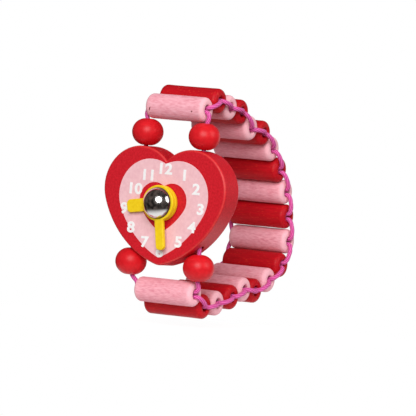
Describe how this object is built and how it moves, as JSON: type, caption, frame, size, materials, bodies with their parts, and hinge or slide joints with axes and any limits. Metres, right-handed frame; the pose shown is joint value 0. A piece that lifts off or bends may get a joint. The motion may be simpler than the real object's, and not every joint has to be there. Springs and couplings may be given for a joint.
{
  "type": "toy wrist watch",
  "caption": "Wooden toy wrist watch: a heart-shaped case with turnable hands on a domed pin, held by an elastic cord with balls on a strap of dowels.",
  "frame": {"origin": "in the wrist opening, level with the pin of the hands, on the middle plane of the watch and 25 mm behind the back of the heart", "axes": "+X along the dowels, to the right as the dial is seen; +Y from the dial to the back of the strap, so the dial faces -Y; +Z towards twelve"},
  "size_m": [0.048, 0.0761, 0.0773],
  "materials": {
    "red_paint": "satin red paint on wood",
    "pink_paint": "matte pink stain on wood, with fine grain",
    "yellow_paint": "satin yellow paint on wood",
    "chrome": "polished",
    "elastic": "round braided elastic cord"
  },
  "bodies": {
    "watch_head": {"heart_case": "red_paint", "dome_pin": "chrome", "elastic_cord": "elastic"},
    "hour_hand": {"hour_hand": "yellow_paint"},
    "minute_hand": {"minute_hand": "yellow_paint"},
    "ball_top_left": {"ball_top_left": "red_paint"},
    "ball_top_right": {"ball_top_right": "red_paint"},
    "ball_bottom_left": {"ball_bottom_left": "red_paint"},
    "ball_bottom_right": {"ball_bottom_right": "red_paint"},
    "dowel_01": {"dowel_01": "pink_paint"},
    "dowel_02": {"dowel_02": "red_paint"},
    "dowel_03": {"dowel_03": "pink_paint"},
    "dowel_04": {"dowel_04": "red_paint"},
    "dowel_05": {"dowel_05": "pink_paint"},
    "dowel_06": {"dowel_06": "red_paint"},
    "dowel_07": {"dowel_07": "pink_paint"},
    "dowel_08": {"dowel_08": "red_paint"},
    "dowel_09": {"dowel_09": "pink_paint"},
    "dowel_10": {"dowel_10": "red_paint"},
    "dowel_11": {"dowel_11": "pink_paint"},
    "dowel_12": {"dowel_12": "red_paint"},
    "dowel_13": {"dowel_13": "pink_paint"},
    "dowel_14": {"dowel_14": "red_paint"},
    "dowel_15": {"dowel_15": "pink_paint"},
    "dowel_16": {"dowel_16": "red_paint"},
    "dowel_17": {"dowel_17": "pink_paint"},
    "dowel_18": {"dowel_18": "red_paint"},
    "dowel_19": {"dowel_19": "pink_paint"}
  },
  "joints": [
    {"name": "hour_turn", "type": "hinge", "parent": "watch_head", "child": "hour_hand", "pos_m": [0, -0.034, 0], "axis": [0, 1, 0], "continuous": true},
    {"name": "minute_turn", "type": "hinge", "parent": "watch_head", "child": "minute_hand", "pos_m": [0, -0.034, 0], "axis": [0, 1, 0], "continuous": true},
    {"name": "ball_top_left_spin", "type": "hinge", "parent": "watch_head", "child": "ball_top_left", "pos_m": [-0.0112, -0.0295, 0.02329], "axis": [0, 0, 1], "continuous": true},
    {"name": "ball_top_right_spin", "type": "hinge", "parent": "watch_head", "child": "ball_top_right", "pos_m": [0.0112, -0.0295, 0.02329], "axis": [0, 0, 1], "continuous": true},
    {"name": "ball_bottom_left_spin", "type": "hinge", "parent": "watch_head", "child": "ball_bottom_left", "pos_m": [-0.0134, -0.0295, -0.02044], "axis": [0, 0, 1], "continuous": true},
    {"name": "ball_bottom_right_spin", "type": "hinge", "parent": "watch_head", "child": "ball_bottom_right", "pos_m": [0.0134, -0.0295, -0.02044], "axis": [0, 0, 1], "continuous": true},
    {"name": "strap_flex", "type": "hinge", "parent": "watch_head", "child": "dowel_19", "pos_m": [0, -0.0278, -0.02934], "axis": [1, 0, 0], "range_deg": [-20, 20], "stiffness_Nm_per_rad": 0.072, "springref_deg": 1.24, "deforming": ["elastic_cord"]},
    {"name": "link_01", "type": "hinge", "parent": "watch_head", "child": "dowel_01", "pos_m": [0, -0.0291, 0.03219], "axis": [1, 0, 0], "range_deg": [-10.28, 10.28], "stiffness_Nm_per_rad": 0.082, "springref_deg": 1.24},
    {"name": "link_02", "type": "hinge", "parent": "dowel_01", "child": "dowel_02", "pos_m": [0, -0.02118, 0.03555], "axis": [1, 0, 0], "range_deg": [-5.22, 5.22], "stiffness_Nm_per_rad": 0.066, "springref_deg": 1.24},
    {"name": "link_03", "type": "hinge", "parent": "dowel_02", "child": "dowel_03", "pos_m": [0, -0.01277, 0.03375], "axis": [1, 0, 0], "range_deg": [-4.66, 4.66], "stiffness_Nm_per_rad": 0.049, "springref_deg": 1.25},
    {"name": "link_04", "type": "hinge", "parent": "dowel_03", "child": "dowel_04", "pos_m": [0, -0.00424, 0.03269], "axis": [1, 0, 0], "range_deg": [-4.54, 4.54], "stiffness_Nm_per_rad": 0.034, "springref_deg": 1.25},
    {"name": "link_05", "type": "hinge", "parent": "dowel_04", "child": "dowel_05", "pos_m": [0, 0.00263, 0.02751], "axis": [1, 0, 0], "range_deg": [-3.82, 3.82], "stiffness_Nm_per_rad": 0.024, "springref_deg": 1.24},
    {"name": "link_06", "type": "hinge", "parent": "dowel_05", "child": "dowel_06", "pos_m": [0, 0.01114, 0.02631], "axis": [1, 0, 0], "range_deg": [-0.98, 0.98], "stiffness_Nm_per_rad": 0.015, "springref_deg": 1.09},
    {"name": "link_07", "type": "hinge", "parent": "dowel_06", "child": "dowel_07", "pos_m": [0, 0.01801, 0.02113], "axis": [1, 0, 0], "range_deg": [-1.18, 1.18], "stiffness_Nm_per_rad": 0.0091, "springref_deg": 0.86},
    {"name": "link_08", "type": "hinge", "parent": "dowel_07", "child": "dowel_08", "pos_m": [0, 0.02306, 0.01417], "axis": [1, 0, 0], "range_deg": [-2.36, 2.36], "stiffness_Nm_per_rad": 0.0046, "springref_deg": 0.7},
    {"name": "link_09", "type": "hinge", "parent": "dowel_08", "child": "dowel_09", "pos_m": [0, 0.02735, 0.00671], "axis": [1, 0, 0], "range_deg": [-3.56, 3.56], "stiffness_Nm_per_rad": 0.0016, "springref_deg": 0.4},
    {"name": "link_10", "type": "hinge", "parent": "dowel_09", "child": "dowel_10", "pos_m": [0, 0.02928, -0.00167], "axis": [1, 0, 0], "range_deg": [-3.12, 3.12], "stiffness_Nm_per_rad": 0.0005},
    {"name": "link_18", "type": "hinge", "parent": "dowel_19", "child": "dowel_18", "pos_m": [0, -0.02021, -0.03338], "axis": [1, 0, 0], "range_deg": [-8.92, 8.92], "stiffness_Nm_per_rad": 0.057, "springref_deg": 1.24},
    {"name": "link_17", "type": "hinge", "parent": "dowel_18", "child": "dowel_17", "pos_m": [0, -0.01169, -0.03218], "axis": [1, 0, 0], "range_deg": [-7.48, 7.48], "stiffness_Nm_per_rad": 0.042, "springref_deg": 1.23},
    {"name": "link_16", "type": "hinge", "parent": "dowel_17", "child": "dowel_16", "pos_m": [0, -0.00338, -0.02995], "axis": [1, 0, 0], "range_deg": [-7.04, 7.04], "stiffness_Nm_per_rad": 0.029, "springref_deg": 1.24},
    {"name": "link_15", "type": "hinge", "parent": "dowel_16", "child": "dowel_15", "pos_m": [0, 0.0048, -0.0273], "axis": [1, 0, 0], "range_deg": [-5.72, 5.72], "stiffness_Nm_per_rad": 0.019, "springref_deg": 1.22},
    {"name": "link_14", "type": "hinge", "parent": "dowel_15", "child": "dowel_14", "pos_m": [0, 0.01339, -0.0276], "axis": [1, 0, 0], "range_deg": [-3.02, 3.02], "stiffness_Nm_per_rad": 0.0099, "springref_deg": 1.24},
    {"name": "link_13", "type": "hinge", "parent": "dowel_14", "child": "dowel_13", "pos_m": [0, 0.02112, -0.02383], "axis": [1, 0, 0], "range_deg": [-0.52, 0.52], "stiffness_Nm_per_rad": 0.0044, "springref_deg": 1.15},
    {"name": "link_12", "type": "hinge", "parent": "dowel_13", "child": "dowel_12", "pos_m": [0, 0.02781, -0.01843], "axis": [1, 0, 0], "range_deg": [-3.34, 3.34], "stiffness_Nm_per_rad": 0.0016, "springref_deg": 0.5},
    {"name": "link_11", "type": "hinge", "parent": "dowel_12", "child": "dowel_11", "pos_m": [0, 0.03033, -0.0102], "axis": [1, 0, 0], "range_deg": [-11.26, 11.26], "stiffness_Nm_per_rad": 0.0005}
  ],
  "couplings": [
    {"joint": "link_01", "follows": "strap_flex", "ratio": -0.489},
    {"joint": "link_02", "follows": "strap_flex", "ratio": 0.236},
    {"joint": "link_03", "follows": "strap_flex", "ratio": 0.208},
    {"joint": "link_04", "follows": "strap_flex", "ratio": 0.202},
    {"joint": "link_05", "follows": "strap_flex", "ratio": 0.166},
    {"joint": "link_06", "follows": "strap_flex", "ratio": 0.024},
    {"joint": "link_07", "follows": "strap_flex", "ratio": -0.034},
    {"joint": "link_08", "follows": "strap_flex", "ratio": -0.093},
    {"joint": "link_09", "follows": "strap_flex", "ratio": -0.153},
    {"joint": "link_10", "follows": "strap_flex", "ratio": 0.131},
    {"joint": "link_18", "follows": "strap_flex", "ratio": -0.421},
    {"joint": "link_17", "follows": "strap_flex", "ratio": -0.349},
    {"joint": "link_16", "follows": "strap_flex", "ratio": -0.327},
    {"joint": "link_15", "follows": "strap_flex", "ratio": -0.261},
    {"joint": "link_14", "follows": "strap_flex", "ratio": -0.126},
    {"joint": "link_13", "follows": "strap_flex", "ratio": 0.001},
    {"joint": "link_12", "follows": "strap_flex", "ratio": 0.142},
    {"joint": "link_11", "follows": "strap_flex", "ratio": 0.538}
  ]
}
